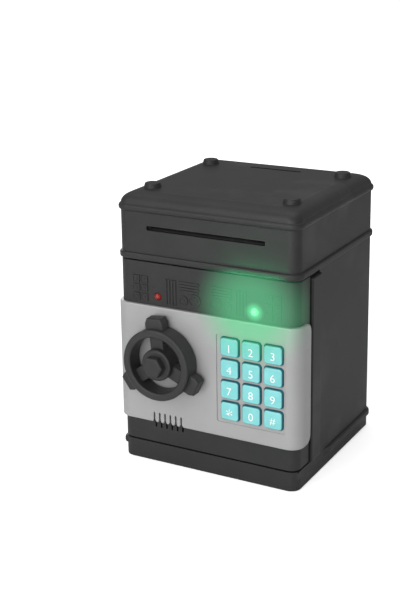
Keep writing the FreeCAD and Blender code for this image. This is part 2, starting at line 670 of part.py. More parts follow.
def belt_loop(grow):
    """Area swept by the belt's loop, grown outwards: two discs and the strip between their tangents."""
    r1 = FEED_PULLEY_R + grow
    r2 = MOTOR_PULLEY_R + grow
    x0 = BELT_X - BELT_W / 2
    gap = V(0, MOTOR_Y - FEED_Y, MOTOR_Z - FEED_Z)
    tilt = math.atan2(gap.z, gap.y)
    lean = math.acos((r1 - r2) / gap.Length)
    corners = []
    for y, z, r, order in ((FEED_Y, FEED_Z, r1, (1, -1)), (MOTOR_Y, MOTOR_Z, r2, (-1, 1))):
        for sign in order:
            a = tilt + sign * lean
            corners.append(V(x0, y + r * math.cos(a), z + r * math.sin(a)))
    strip = prism(corners, V(BELT_W, 0, 0))
    discs = [cyl_x(y, z, r, x0, x0 + BELT_W) for y, z, r in ((FEED_Y, FEED_Z, r1), (MOTOR_Y, MOTOR_Z, r2))]
    return fuse(strip, *discs)


def drive_belt():
    """Flat belt round both pulleys."""
    return belt_loop(BELT_T + SNUG).cut(belt_loop(SNUG))


def feed_motor():
    """Small can motor with two flats, a bearing nose at the left and an end cap at the right."""
    can = cyl_x(MOTOR_Y, MOTOR_Z, MOTOR_R, -45.5, -20.5)
    can = can.common(box(-FAR, 0, -FAR, FAR, MOTOR_Z - MOTOR_FLAT, MOTOR_Z + MOTOR_FLAT))
    nose = cyl_x(MOTOR_Y, MOTOR_Z, 3.0, -47.2, -45.0)
    end = cyl_x(MOTOR_Y, MOTOR_Z, 7.0, -20.6, -19.0)
    return fuse(can, nose, end).cut(cyl_x(MOTOR_Y, MOTOR_Z, MOTOR_SHAFT_R + RUN, -FAR, -40))


def motor_shaft():
    """The motor's own shaft."""
    return cyl_x(MOTOR_Y, MOTOR_Z, MOTOR_SHAFT_R, -56.5, -40.2)


def bill_sensor():
    """Small board under the note's table, with a lens block that looks up through it."""
    board = box(20, 42.6, -58.6, -47.5, SLOT_Z - 5.3, SLOT_Z - 3.9 - SNUG)
    block = box(27, 33, -56, -50, SLOT_Z - 8.5, SLOT_Z - 5.2)
    plug = box(35, 41, -56.5, -50, SLOT_Z - 9.5, SLOT_Z - 5.2)
    return fuse(board, block, plug)


def control_board():
    """The feeder's circuit board, on four legs."""
    z = Z_HEAD + 5.0
    board = box(12, 52, -2, 30, z, z + 1.6)
    legs = [cyl(x, y, Z_DECK, 1.8, 3.0) for x in (15, 49) for y in (1, 27)]
    chips = [box(24, 34, 8, 18, z, z + 3.2), box(38, 43, 4, 12, z, z + 3.0), box(38, 48, 18, 26, z, z + 7.0)]
    cans = [cyl(18, y, z, 3.0, 8.5) for y in (10, 18)]
    return fuse(board, *(legs + chips + cans))


def wire_harness():
    """Two wires from motor to board, and two from the board down the right wall to the batteries."""
    z = Z_HEAD + 4.2
    low = 15.0
    wires = []
    for k in (0, 1):
        step = 2.2 * k
        y = MOTOR_Y - 3 + 2 * step
        turn = V(-13 - step, y, z + 2)
        run = (V(-18.9, y, MOTOR_Z), V(-13 - step, y, MOTOR_Z), turn, V(-13 - step, 24 + step, z))
        wires.append(wire_run(run + (V(11.2, 24 + step, z + 1.7),), WIRE_R))
        x = 57.5 - step
        y = HARNESS_Y + step
        z_deck = Z_HEAD + 3.2
        run = (V(52.8, 21.8 + step, z_deck), V(x, 21.8 + step, z_deck), V(x, y, z_deck))
        drop = (V(HARNESS_X, y, z_deck), V(HARNESS_X, y, low), V(31.9, y - 25.5, low))
        wires.append(wire_run(run + drop, WIRE_R))
    return group(wires)


# ---------------------------------------------------------------- door
def door_block(grow, z0, z1, rear):
    """The front end of the box's outline, as far back as rear."""
    return body_block(grow, z0, z1).common(box(-FAR, FAR, -FAR, rear, z0, z1))


def grille_x():
    """The x of each speaker slot."""
    return [SPEAKER[0] + (k - (GRILLE_SLOTS - 1) / 2) * GRILLE_PITCH for k in range(GRILLE_SLOTS)]


def grille_cutters(y0, y1, low):
    """Upright speaker slots."""
    return [slot_cutter(x, low, GRILLE_TOP, GRILLE_W, y0, y1) for x in grille_x()]


def relief_blocks():
    """Raised picture band above the front plate: coins, bundles of notes and ribbed bars, left and right."""
    y0, y1 = FRONT - 0.55, FRONT + 0.3
    low, high = 112.6, 129.6
    parts = []
    for side in (-1, 1):
        for x, r in ((7.5, 4.2), (15.8, 3.2)):
            z = low + 1.0 + r
            coin = cyl_y(side * x, z, r, y0, y1)
            coin = coin.cut(cyl_y(side * x, z, r - 0.8, y0 - 1, y0 + 0.3))
            parts.append(fuse(coin, cyl_y(side * x, z, r - 1.9, y0 + 0.05, y1)))
        for k in range(4):
            z = high - 1.7 - 1.9 * k
            lean = 0.6 * (k % 2)
            parts.append(box(side * 11.6 - 7.4 + lean, side * 11.6 + 7.4 - lean, y0, y1, z, z + 1.35))
        for k in range(4):
            x = side * (21.8 + 2.2 * k)
            parts.append(box(x - 0.75, x + 0.75, y0, y1, low, high - 0.3))
        for row in range(3):
            z = low + 5.9 * row
            for x in (44.6, 50.6):
                note = box(side * x - 2.6, side * x + 2.6, y0, y1, z, z + 4.9)
                note = note.cut(box(side * x - 1.9, side * x + 1.9, y0 - 1, y0 + 0.25, z + 0.7, z + 4.2))
                parts.append(fuse(note, cyl_y(side * x, z + 2.45, 1.0, y0, y1)))
    return parts


def door_frame():
    """The door: a hollow shell, open at the back, with hinge bosses, screw posts and the speaker's ring."""
    z0, z1 = DOOR_Z
    boss_h = 11.0
    shell = door_block(0, z0, z1, DOOR_REAR)
    shell = round_edges(shell, 0.7, lambda b: flat_at(z0)(b) and b.YMin < DOOR_REAR - 0.1)
    shell = round_edges(shell, 0.7, lambda b: flat_at(z1)(b) and b.YMin < DOOR_REAR - 0.1)
    hollow = plan_block(WALL, z0 + 2.0, z1 - 2.0).common(box(-FAR, FAR, -FAR, DOOR_REAR + 1, 0, HIGH))
    shell = shell.cut(hollow)
    solids = [cyl(HINGE[0], HINGE[1], z, HINGE_BOSS_R, boss_h) for z in (z0, z1 - boss_h)]
    for x, z in COVER_SCREWS:
        solids.append(cyl_y(x, z, 3.0, FRONT_IN - 0.3, COVER_Y[0] - SNUG))
    solids.append(cyl_y(KNOB[0], KNOB[1], 6.0, FRONT_IN - 0.3, -56.0))
    ring = cyl_y(SPEAKER[0], SPEAKER[1], 15.2, FRONT_IN - 0.3, -55.6)
    solids.append(ring.cut(cyl_y(SPEAKER[0], SPEAKER[1], SPEAKER_R + 0.1, -FAR, INSIDE)))
    shell = fuse(shell, *(solids + relief_blocks()))
    shell = shell.cut(upright(10.4, 57.0, 41.2, 98.8, 2.0, -FAR, FRONT_IN + 1))
    shell = shell.cut(cyl_y(KNOB[0], KNOB[1], SHAFT_R + RUN, -FAR, INSIDE))
    for side in (-1, 1):
        shell = shell.cut(cyl_y(side * LAMP[0], LAMP[1], LAMP_R + 0.15, -FAR, INSIDE))
    for x, z in COVER_SCREWS:
        shell = shell.cut(cyl_y(x, z, PILOT_R, -56.5, -40))
    for z in (z0 - 1, z1 - boss_h + 0.4):
        shell = shell.cut(cyl(HINGE[0], HINGE[1], z, PIN_R, boss_h + 0.6))
    for cutter in grille_cutters(-FAR, FRONT_IN + 0.2, 25.2):
        shell = shell.cut(cutter)
    return shell


def front_plate():
    """Silver plate over the door's front, wrapped round both sides, with the grille's slots at its foot."""
    z0, z1 = PLATE_Z
    wrap = -45.5  # rear edge of the side flaps
    wrap_r = 6.0
    plate = door_block(PLATE_T, z0, z1, wrap).cut(door_block(SNUG, z0 - 1, z1 + 1, DOOR_REAR))
    for z, side in ((z0, -1), (z1, 1)):
        inner = z - wrap_r * side
        corner = box(-FAR, FAR, wrap - wrap_r, wrap + 1, min(z, inner), max(z, inner))
        plate = plate.cut(corner.cut(cyl_x(wrap - wrap_r, inner, wrap_r, -FAR, FAR)))

    def outer_edge(b):
        level = b.YMin < wrap - wrap_r - 0.5 and (flat_at(z0)(b) or flat_at(z1)(b))
        at_front = abs(b.YMin - PLATE_FRONT) < 0.01
        at_side = abs(max(abs(b.XMin), abs(b.XMax)) - HX - PLATE_T) < 0.01
        return level and (at_front or at_side)

    plate = round_edges(plate, 0.9, outer_edge)
    recess = upright(RECESS_X[0], RECESS_X[1], RECESS_Z[0], RECESS_Z[1], 1.6, -FAR, PLATE_FRONT + RECESS_D)
    plate = plate.cut(recess)
    w = KEY_W / 2 + KEY_GAP
    h = KEY_H / 2 + KEY_GAP
    for z in KEY_Z:
        for x in KEY_X:
            plate = plate.cut(upright(x - w, x + w, z - h, z + h, 2.4, -FAR, INSIDE))
    plate = plate.cut(cyl_y(KNOB[0], KNOB[1], SHAFT_R + 0.4, -FAR, INSIDE))
    for cutter in grille_cutters(-FAR, INSIDE, 20.0):
        plate = plate.cut(cutter)
    for x in grille_x():
        flare = [V(x + dx, -FAR, z0 + dz) for dx, dz in ((0, 3.2), (-1.7, -0.2), (1.7, -0.2))]
        plate = plate.cut(prism(flare, V(0, INSIDE + FAR, 0)))
    return plate


def key_cap(x, z):
    """One push button: a pillowed cap, a flange that holds it behind the plate, and a hollow stem."""
    cap = upright(x - KEY_W / 2, x + KEY_W / 2, z - KEY_H / 2, z + KEY_H / 2, 2.1, KEY_FRONT, KEY_FLANGE[1])
    cap = round_edges(cap, 0.8, lambda b: abs(b.YMax - KEY_FRONT) < 0.01)
    flange = upright(x - 7.05, x + 7.05, z - 6.75, z + 6.75, 1.5, KEY_FLANGE[0], KEY_FLANGE[1])
    stem = cyl_y(x, z, 2.4, -61.5, KEY_FOOT)
    return fuse(cap, flange, stem)


def keypad_mat():
    """Soft sheet with a dome under each key."""
    sheet = upright(10.8, 56.6, 41.6, 98.4, 1.5, MAT_Y[0], MAT_Y[1] - SNUG)
    domes = []
    for z in KEY_Z:
        for x in KEY_X:
            domes.append(Part.makeCone(3.8, 2.6, 1.0, V(x, MAT_Y[0] + 0.05, z), V(0, -1, 0)))
    return fuse(sheet, *domes)


def door_board():
    """One circuit board: keypad at the right, and an arm across the top for the two lamps."""
    y0, y1 = BOARD_Y
    keypad = box(9.4, 58.4, y0, y1, 37.5, 103.5)
    neck = box(12.0, 40.0, y0, y1, 103.0, 113.0)
    arm = box(-40.0, 40.0, y0, y1, 112.6, 121.2)
    chips = [
        box(26, 40, y1 - 0.1, -53.0, 60, 74),
        box(14, 20, y1 - 0.1, -53.4, 78, 96),
        box(44, 54, y1 - 0.1, -50.6, 42, 52),
        box(4, 12, y1 - 0.1, -51.8, 114, 119),
    ]
    cans = [cyl_y(x, 88, 3.0, y1 - 0.1, -48.4) for x in (34, 43)]
    return fuse(keypad, neck, arm, *(chips + cans))


def lamp(side):
    """Round-nosed lamp with a flange behind the door's front, and two legs to the board."""
    x = side * LAMP[0]
    z = LAMP[1]
    leg = 0.25
    y_leg = BOARD_Y[0] - SNUG
    lens = cyl_y(x, z, LAMP_R, FRONT + 0.6, -57.2)
    dome = Part.makeSphere(LAMP_R, V(x, FRONT + 0.6, z))
    flange = cyl_y(x, z, 2.9, FRONT_IN + 0.1, -58.4)
    legs = [box(a - leg, a + leg, -57.4, y_leg, z - leg, z + leg) for a in (x - 1.27, x + 1.27)]
    return fuse(lens, dome, flange, *legs)


def green_lamp():
    """At the hinge side."""
    return lamp(1)


def red_lamp():
    """At the latch side."""
    return lamp(-1)


def speaker():
    """Flat round speaker with a dished cone and its magnet behind."""
    x, z = SPEAKER
    basket = cyl_y(x, z, SPEAKER_R, FRONT_IN + 0.1, -57.4)
    cup = cyl_y(x, z, 7.5, -57.5, -52.6)
    return fuse(basket, cup).cut(Part.makeCone(12.0, 5.0, 1.4, V(x, FRONT_IN + 0.05, z), V(0, 1, 0)))


def door_back_cover():
    """Panel that closes the back of the door, with a row of vents."""
    y0, y1 = COVER_Y
    cover = upright(-SIDE_IN + 0.3, SIDE_IN - 0.3, COVER_Z[0], COVER_Z[1], 2.0, y0, y1)
    for z0, z1 in ((0, DOOR_Z[0] + 11.6), (DOOR_Z[1] - 11.6, HIGH)):
        cover = cover.cut(box(HINGE[0] - 4.2, FAR, -FAR, 0, z0, z1))
    for k in range(7):
        z = 104.0 + 3.4 * k
        cover = cover.cut(box(12, 46, y1 - 0.8, y1 + 1, z, z + 1.4))
    cover = cover.cut(cyl_y(KNOB[0], KNOB[1], SHAFT_R + RUN, -FAR, 0))
    for x, z in COVER_SCREWS:
        cover = cover.cut(cyl_y(x, z, CLEAR_R, -FAR, 0))
    return cover


def door_screws():
    """Back cover to door."""
    solids = []
    for x, z in COVER_SCREWS:
        screw = screw_up(0, 0, 0, 8.6, head_r=2.4, head_h=1.3)
        screw.rotate(V(0, 0, 0), V(1, 0, 0), 90)
        screw.translate(V(x, COVER_Y[1] + 1.3 + SNUG, z))
        solids.append(screw)
    return group(solids)


def hinge_pins():
    """Two steel pins, from the base and the head into the door's bosses."""
    low = cyl(HINGE[0], HINGE[1], 5.2, PIN_R, 19.0)
    high = cyl(HINGE[0], HINGE[1], DOOR_Z[1] - 10.2, PIN_R, 18.4)
    return group((low, high))


def door_wires():
    """One lead to the speaker and one to the lock's coil."""
    y = -53.6
    speaker_run = (V(SPEAKER[0] + 8.4, y, SPEAKER[1]), V(0, y, SPEAKER[1]), V(8.5, y - 2.3, 44))
    coil_run = (V(COIL_X[1] + 0.1, y, 100), V(0, y, 100), V(8.5, y - 2.3, 96))
    return group(wire_run(run, WIRE_R) for run in (speaker_run, coil_run))


# ---------------------------------------------------------------- lock
def spoke(angle):
    """One arm of the wheel, drawn pointing up and then turned, with a lug outside the rim."""
    x, z = KNOB
    y0, y1 = WHEEL_Y
    arm = box(x - 4.6, x + 4.6, y0 + 5.0, y1 - 1.2, z + 8.0, z + WHEEL_R - 3.0)
    root = 6.6
    tip = 5.0
    low = z + WHEEL_R - 2.0
    shoulder = z + WHEEL_R + 3.4
    reach = z + WHEEL_R + 6.6
    front = y0 + 3.6
    lug_points = (
        (root, low),
        (root, shoulder),
        (tip, reach),
        (-tip, reach),
        (-root, shoulder),
        (-root, low),
    )
    lug = prism([V(x + dx, front, dz) for dx, dz in lug_points], V(0, y1 - 0.8 - front, 0))
    lug = round_edges(lug, 1.2, lambda b: abs(b.YMax - front) < 0.01 and b.ZMax > z + WHEEL_R)
    both = fuse(arm, lug)
    both.rotate(V(x, 0, z), V(0, 1, 0), angle)
    return both


def handwheel():
    """Rim, hub and three arms, bored for the shaft."""
    x, z = KNOB
    y0, y1 = WHEEL_Y
    facing = lambda y: lambda b: abs(b.YMax - y) < 0.01 and b.XLength > 10
    rim = cyl_y(x, z, WHEEL_R, y0, y1)
    rim = rim.cut(cyl_y(x, z, WHEEL_R - 5.2, y0 - 1, y1 + 1))
    rim = round_edges(rim, 1.3, facing(y0))
    hub = cyl_y(x, z, 10.6, HUB_FRONT, y1)
    hub = round_edges(hub, 1.4, facing(HUB_FRONT))
    arms = [spoke(angle).cut(cyl_y(x, z, 5.0, y0 - 1, y1 + 1)) for angle in SPOKES]
    wheel = fuse(rim, hub, *arms)
    pocket = cyl_y(x, z, 4.6, HUB_FRONT - 1, HUB_FRONT + 3.0)
    return wheel.cut(pocket).cut(cyl_y(x, z, SHAFT_R, y0 - 1, y1 + 1))


def wheel_cap():
    """Hexagonal cap that plugs into the hub over the end of the shaft."""
    x, z = KNOB
    corner = 7.3
    points = []
    for k in range(6):
        a = math.radians(60 * k + 1)
        points.append(V(x + corner * math.cos(a), HEX_FRONT, z + corner * math.sin(a)))
    hexagon = prism(points, V(0, HUB_FRONT - SNUG - HEX_FRONT, 0))
    hexagon = round_edges(hexagon, 1.2, lambda b: abs(b.YMax - HEX_FRONT) < 0.01)
    plug = cyl_y(x, z, 4.5, HUB_FRONT - 0.5, HUB_FRONT + 0.9)
    return fuse(hexagon, plug)


def wheel_shaft():
    """Shaft through the door, with the notched lock disc and the latch lever on it."""
    x, z = KNOB
    shaft = cyl_y(x, z, SHAFT_R, HUB_FRONT + 3.0, LEVER_Y[1] + 0.6)
    disc = cyl_y(x, z, DISC_R, DISC_Y[0], DISC_Y[1])
    notch = box(x - 2.3, x + 2.3, DISC_Y[0] - 1, DISC_Y[1] + 1, z + DISC_R - 4.6, z + DISC_R + 2)
    for angle in (0, 90):
        cutter = notch.copy()
        cutter.rotate(V(x, 0, z), V(0, 1, 0), angle)
        disc = disc.cut(cutter)
    return fuse(shaft, disc)


def latch_lever():
    """Arm on the shaft's rear end that turns behind the body's frame to hold the door."""
    x, z = KNOB
    arm = upright(x - 5.0, x + 5.0, z - 6.5, z + 29.0, 3.5, LEVER_Y[0], LEVER_Y[1])
    rib = box(x - 1.2, x + 1.2, LEVER_Y[1] - 0.2, LEVER_Y[1] + 1.6, z + 6.0, z + 24.0)
    return fuse(arm, rib).cut(cyl_y(x, z, SHAFT_R, -FAR, 0))


def lock_coil():
    """Solenoid: steel yoke around a wound bobbin, bored for the plunger."""
    x = KNOB[0]
    x0, x1 = COIL_X
    z0, z1 = COIL_Z
    yoke = box(x0, x1, COIL_Y[0], COIL_Y[1], z0, z1)
    yoke = yoke.cut(box(x0 + 1.2, x1 - 1.2, COIL_Y[0] - 1, COIL_Y[1] + 1, z0 + 1.4, z1 - 1.4))
    winding = cyl(x, PLUNGER_Y, z0 + 1.2, 5.4, z1 - z0 - 2.4)
    return fuse(yoke, winding).cut(cyl(x, PLUNGER_Y, z0 - 1, PLUNGER_R + RUN, z1 - z0 - 1))


def lock_plunger():
    """Rod that drops into the disc's notch, with a collar for its spring."""
    rod = cyl(KNOB[0], PLUNGER_Y, PLUNGER_TIP, PLUNGER_R, 22.0)
    collar = cyl(KNOB[0], PLUNGER_Y, COLLAR_Z[0], 3.6, COLLAR_Z[1] - COLLAR_Z[0])
    return fuse(rod, collar)


def lock_spring():
    """Pushes the collar down from the coil's yoke."""
    gap = 0.32  # clear of the collar and of the yoke
    z = COLLAR_Z[1] + gap
    return coil(KNOB[0], PLUNGER_Y, z, 2.7, 0.25, COIL_Z[0] - z - gap, 3)


PARTS = {
    "base_tray": base_tray,
    "battery_lid": battery_lid,
    "battery_lid_screw": battery_lid_screw,
    "batteries": batteries,
    "battery_contacts": battery_contacts,
    "rubber_feet": rubber_feet,
    "vault_floor": vault_floor,
    "body_shell": body_shell,
    "body_screws": body_screws,
    "head_shell": head_shell,
    "head_screws": head_screws,
    "cap_screws": cap_screws,
    "mechanism_deck": mechanism_deck,
    "top_cap": top_cap,
    "coin_chute": coin_chute,
    "bill_guide_lower": bill_guide_lower,
    "bill_guide_upper": bill_guide_upper,
    "roller_brackets": roller_brackets,
    "feed_shaft": feed_shaft,
    "feed_rollers": feed_rollers,
    "feed_pulley": feed_pulley,
    "pinch_shaft": pinch_shaft,
    "pinch_rollers": pinch_rollers,
    "drive_belt": drive_belt,
    "feed_motor": feed_motor,
    "motor_shaft": motor_shaft,
    "motor_pulley": motor_pulley,
    "bill_sensor": bill_sensor,
    "control_board": control_board,
    "wire_harness": wire_harness,
    "door_frame": door_frame,
    "front_plate": front_plate,
    "door_back_cover": door_back_cover,
    "door_screws": door_screws,
    "hinge_pins": hinge_pins,
    "door_wires": door_wires,
    "keypad_mat": keypad_mat,
    "door_board": door_board,
    "green_lamp": green_lamp,
    "red_lamp": red_lamp,
    "speaker": speaker,
    "handwheel": handwheel,
    "wheel_cap": wheel_cap,
    "wheel_shaft": wheel_shaft,
    "latch_lever": latch_lever,
    "lock_coil": lock_coil,
    "lock_plunger": lock_plunger,
    "lock_spring": lock_spring,
}


def save(shape, name):
    """Moves a part into the shared frame and writes it."""
    shape.translate(TO_ORIGIN)
    shape.exportStep(f"parts/{name}.step")


os.makedirs("parts", exist_ok=True)
for name, make in PARTS.items():
    save(make(), name)
for names, z in zip(KEY_NAMES, KEY_Z):
    for label, x in zip(names, KEY_X):
        save(key_cap(x, z), f"key_{label}")
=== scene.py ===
"""Looks for a toy savings bank shaped like a small safe: matte charcoal case, silver front plate, teal keys,
handwheel and a lit green lamp. Metres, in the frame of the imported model: +Z up, the door faces -Y.

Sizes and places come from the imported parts' boxes. Each material and each piece has its own function.
"""

import bmesh
import bpy
import math
from mathutils import Matrix, Vector


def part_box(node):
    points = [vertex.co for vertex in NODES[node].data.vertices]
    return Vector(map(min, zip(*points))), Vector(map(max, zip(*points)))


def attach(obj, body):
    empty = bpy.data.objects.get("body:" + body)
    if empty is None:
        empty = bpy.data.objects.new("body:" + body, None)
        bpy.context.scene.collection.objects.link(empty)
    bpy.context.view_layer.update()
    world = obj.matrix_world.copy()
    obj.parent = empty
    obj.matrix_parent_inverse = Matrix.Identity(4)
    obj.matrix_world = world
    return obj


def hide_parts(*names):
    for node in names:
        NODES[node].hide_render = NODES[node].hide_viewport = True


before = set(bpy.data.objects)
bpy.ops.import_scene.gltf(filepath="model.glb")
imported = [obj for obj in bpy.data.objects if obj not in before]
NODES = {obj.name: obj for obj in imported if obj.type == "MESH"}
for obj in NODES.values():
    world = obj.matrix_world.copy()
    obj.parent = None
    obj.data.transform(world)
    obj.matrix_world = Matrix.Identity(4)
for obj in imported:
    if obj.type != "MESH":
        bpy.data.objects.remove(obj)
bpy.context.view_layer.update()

MM = 0.001


# ---------------------------------------------------------------- places taken from the frame
def middle(node):
    """The centre of a node's box at rest."""
    lo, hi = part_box(node)
    return (lo + hi) / 2


BOX_Y = middle("head_shell").y  # middle of the box, front to back
LAMP_AT = Vector((middle("green_lamp").x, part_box("green_lamp")[0].y, middle("green_lamp").z))


# ---------------------------------------------------------------- keypad
KEYS = ("1", "2", "3", "4", "5", "6", "7", "8", "9", "star", "0", "hash")
SIGNS = {"star": "*", "hash": "#"}
SIGN_SIZE = {"star": 11 * MM, "hash": 6.6 * MM}
DIGIT_SIZE = 7.5 * MM
DIGIT_RAISE = 0.12 * MM  # half of a digit's thickness
DIGIT_FRONT = 0.16 * MM  # from the cap's foremost point back to the middle of a digit
DIGIT_DROP = 0.8 * MM  # digits sit a little below the cap's middle
DIGIT_BEVEL = 0.04 * MM
DIGIT_SLIM = 0.07 * MM  # taken off each side of a stroke

CAP_X = 6.45 * MM  # half the width of a cap
CAP_Z = 6.15 * MM  # half its height
CAP_CORNER = 2.1 * MM
CAP_ROLL = 1.15 * MM  # radius of the rolled edge
CAP_CROWN = 0.25 * MM  # how far the middle of the face stands out from its rim
CAP_BACK = 3.5 * MM  # depth of the cap in front of its flange
FLANGE_BACK = 4.4 * MM
FLANGE_CORNER = 1.5 * MM
ROLL_STEPS = 7
CROWN_STEPS = (0.86, 0.68, 0.48, 0.28, 0.1)  # rings on the face, as fractions of its half width
FACE_CORNER = 1.55 * MM
STEM_R = 2.4 * MM
STEM_TIP_R = 2.25 * MM
STEM_TIP = 0.15 * MM


# ---------------------------------------------------------------- node trees
class Tree:
    """A material's node tree. Each method adds nodes and gives back an output."""

    def __init__(self, name):
        self.material = bpy.data.materials.new(name)
        self.material.use_nodes = True
        self.nodes = self.material.node_tree.nodes
        self.links = self.material.node_tree.links
        self.nodes.clear()
        self.shader = self.node("ShaderNodeBsdfPrincipled")
        out = self.node("ShaderNodeOutputMaterial")
        self.links.new(self.shader.outputs[0], out.inputs["Surface"])
        self.place = self.node("ShaderNodeTexCoord").outputs["Object"]

    def node(self, kind, **settings):
        made = self.nodes.new(kind)
        for key, value in settings.items():
            setattr(made, key, value)
        return made

    def put(self, socket, value):
        """Links an output to the socket, or writes a plain value into it."""
        if isinstance(value, bpy.types.NodeSocket):
            self.links.new(value, socket)
        elif value is not None:
            socket.default_value = value

    def set(self, **values):
        """Sets inputs of the shader by name, with _ for each space."""
        for key, value in values.items():
            self.put(self.shader.inputs[key.replace("_", " ")], value)

    def stretch(self, x, y, z):
        """The place in the object, scaled along each axis."""
        made = self.node("ShaderNodeMapping")
        self.put(made.inputs["Vector"], self.place)
        made.inputs["Scale"].default_value = (x, y, z)
        return made.outputs[0]

    def axis(self, vector, name):
        """One of a vector's three numbers: X, Y or Z."""
        made = self.node("ShaderNodeSeparateXYZ")
        self.put(made.inputs[0], vector)
        return made.outputs[name]

    def noise(self, scale, detail=3.0, roughness=0.55, where=None):
        made = self.node("ShaderNodeTexNoise")
        self.put(made.inputs["Vector"], where or self.place)
        made.inputs["Scale"].default_value = scale
        made.inputs["Detail"].default_value = detail
        made.inputs["Roughness"].default_value = roughness
        return made.outputs["Fac"]

    def cells(self, scale):
        made = self.node("ShaderNodeTexVoronoi")
        self.put(made.inputs["Vector"], self.place)
        made.inputs["Scale"].default_value = scale
        return made.outputs["Distance"]

    def calc(self, operation, a, b):
        made = self.node("ShaderNodeMath", operation=operation)
        self.put(made.inputs[0], a)
        self.put(made.inputs[1], b)
        return made.outputs[0]

    def span(self, value, low, high, out_low=0.0, out_high=1.0):
        """Maps low..high to out_low..out_high, held at both ends."""
        made = self.node("ShaderNodeMapRange", interpolation_type="SMOOTHSTEP")
        self.put(made.inputs["Value"], value)
        limits = (("From Min", low), ("From Max", high), ("To Min", out_low), ("To Max", out_high))
        for key, number in limits:
            self.put(made.inputs[key], number)
        return made.outputs[0]

    def blend(self, factor, a, b):
        """Colour a where the factor is 0, colour b where it is 1."""
        made = self.node("ShaderNodeMix", data_type="RGBA")
        self.put(made.inputs["Factor"], factor)
        self.put(made.inputs[6], a)
        self.put(made.inputs[7], b)
        return made.outputs[2]

    def soft_edges(self, radius):
        """A normal that turns smoothly over each edge, as if it were rounded."""
        made = self.node("ShaderNodeBevel", samples=4)
        made.inputs["Radius"].default_value = radius
        return made.outputs[0]

    def edges(self, radius):
        """Above 0 along edges, 0 on flats: where a rounded normal leaves the true one."""
        true = self.node("ShaderNodeNewGeometry")
        dot = self.node("ShaderNodeVectorMath", operation="DOT_PRODUCT")
        self.put(dot.inputs[0], self.soft_edges(radius))
        self.put(dot.inputs[1], true.outputs["Normal"])
        return self.calc("SUBTRACT", 1.0, dot.outputs["Value"])

    def bump(self, height, depth, strength, under=None):
        """Turns a 0 to 1 height into relief of the given depth in metres."""
        made = self.node("ShaderNodeBump")
        made.inputs["Strength"].default_value = strength
        made.inputs["Distance"].default_value = depth
        self.put(made.inputs["Height"], height)
        self.put(made.inputs["Normal"], under)
        return made.outputs[0]

    def near(self, point, inner, outer):
        """1 within inner of the point, fading to 0 at outer."""
        gap = self.node("ShaderNodeVectorMath", operation="DISTANCE")
        self.put(gap.inputs[0], self.place)
        gap.inputs[1].default_value = point
        return self.span(gap.outputs["Value"], inner, outer, 1.0, 0.0)


def grey(value, tint=(1.0, 1.0, 1.0)):
    """An opaque grey, or a grey with a slight tint."""
    return (value * tint[0], value * tint[1], value * tint[2], 1.0)


def dimmed(colour, amount):
    """An opaque colour at a fraction of its strength."""
    return tuple(c * amount for c in colour[:3]) + (1,)


# ---------------------------------------------------------------- painted light of the green lamp
HAZE_AT = LAMP_AT + Vector((-2, 0, 1)) * MM
HAZE_INNER = 12 * MM
HAZE_OUTER = 43 * MM
CORE_INNER = 1.5 * MM
CORE_OUTER = 7.5 * MM
CORE_GAIN = 1.6  # how much brighter the core is than the haze
# colours of the lamp's painted light: its emission, and the green mixed into pale surfaces' colour
HAZE_LIGHT = (0.165, 1.0, 0.44, 1.0)
PAINTED_HAZE_TINT = (0.02, 0.42, 0.15, 1.0)


def painted_green_glow(tree, glow):
    """Paints the green lamp's light onto the plastic round it as emission: a broad haze, given back, and a
    bright core.
    """
    haze = tree.near(HAZE_AT, HAZE_INNER, HAZE_OUTER)
    core = tree.near(LAMP_AT, CORE_INNER, CORE_OUTER)
    centre = tree.calc("MULTIPLY", core, glow * CORE_GAIN)
    light = tree.calc("ADD", tree.calc("MULTIPLY", haze, glow), centre)
    tree.set(Emission_Color=HAZE_LIGHT, Emission_Strength=light)
    return haze


def painted_green_tint(tree, base, haze, amount):
    """Painted light: mixes a pale surface's colour toward the lamp's green within the haze."""
    return tree.blend(tree.calc("MULTIPLY", haze, amount), base, PAINTED_HAZE_TINT)


# ---------------------------------------------------------------- materials
def moulded(name, colour, rough, grain=0.012 * MM, wear=0.35, tint=(1.0, 1.0, 1.0), glow=0.0):
    """Spark-textured ABS: fine grain, faint mottling, handled patches that shine a little, rubbed edges;
    with glow, the green lamp's light painted on as emission.
    """
    tree = Tree(name)
    mottle = tree.span(tree.noise(38, 4), 0.35, 0.65)
    handled = tree.span(tree.noise(14, 5, 0.6), 0.45, 0.7)
    edge = tree.span(tree.edges(0.5 * MM), 0.04, 0.28)
    rubbed = tree.calc("MULTIPLY", edge, tree.span(tree.noise(160, 4), 0.35, 0.6, wear * 0.3, wear))
    base = tree.blend(mottle, grey(colour * 0.93, tint), grey(colour * 1.07, tint))
    base = tree.blend(rubbed, base, grey(colour * 2.1, tint))
    shine = tree.span(handled, 0.0, 1.0, rough, rough - 0.1)
    shine = tree.calc("SUBTRACT", shine, tree.calc("MULTIPLY", rubbed, 0.12))
    relief = tree.bump(tree.noise(2600, 2, 0.6), grain * 4, 0.7, tree.soft_edges(0.18 * MM))
    # painted light: the green lamp's glow as emission on this plastic
    if glow:
        painted_green_glow(tree, glow)
    tree.set(Base_Color=base, Roughness=shine, Specular_IOR_Level=0.35, Normal=relief)
    return tree.material


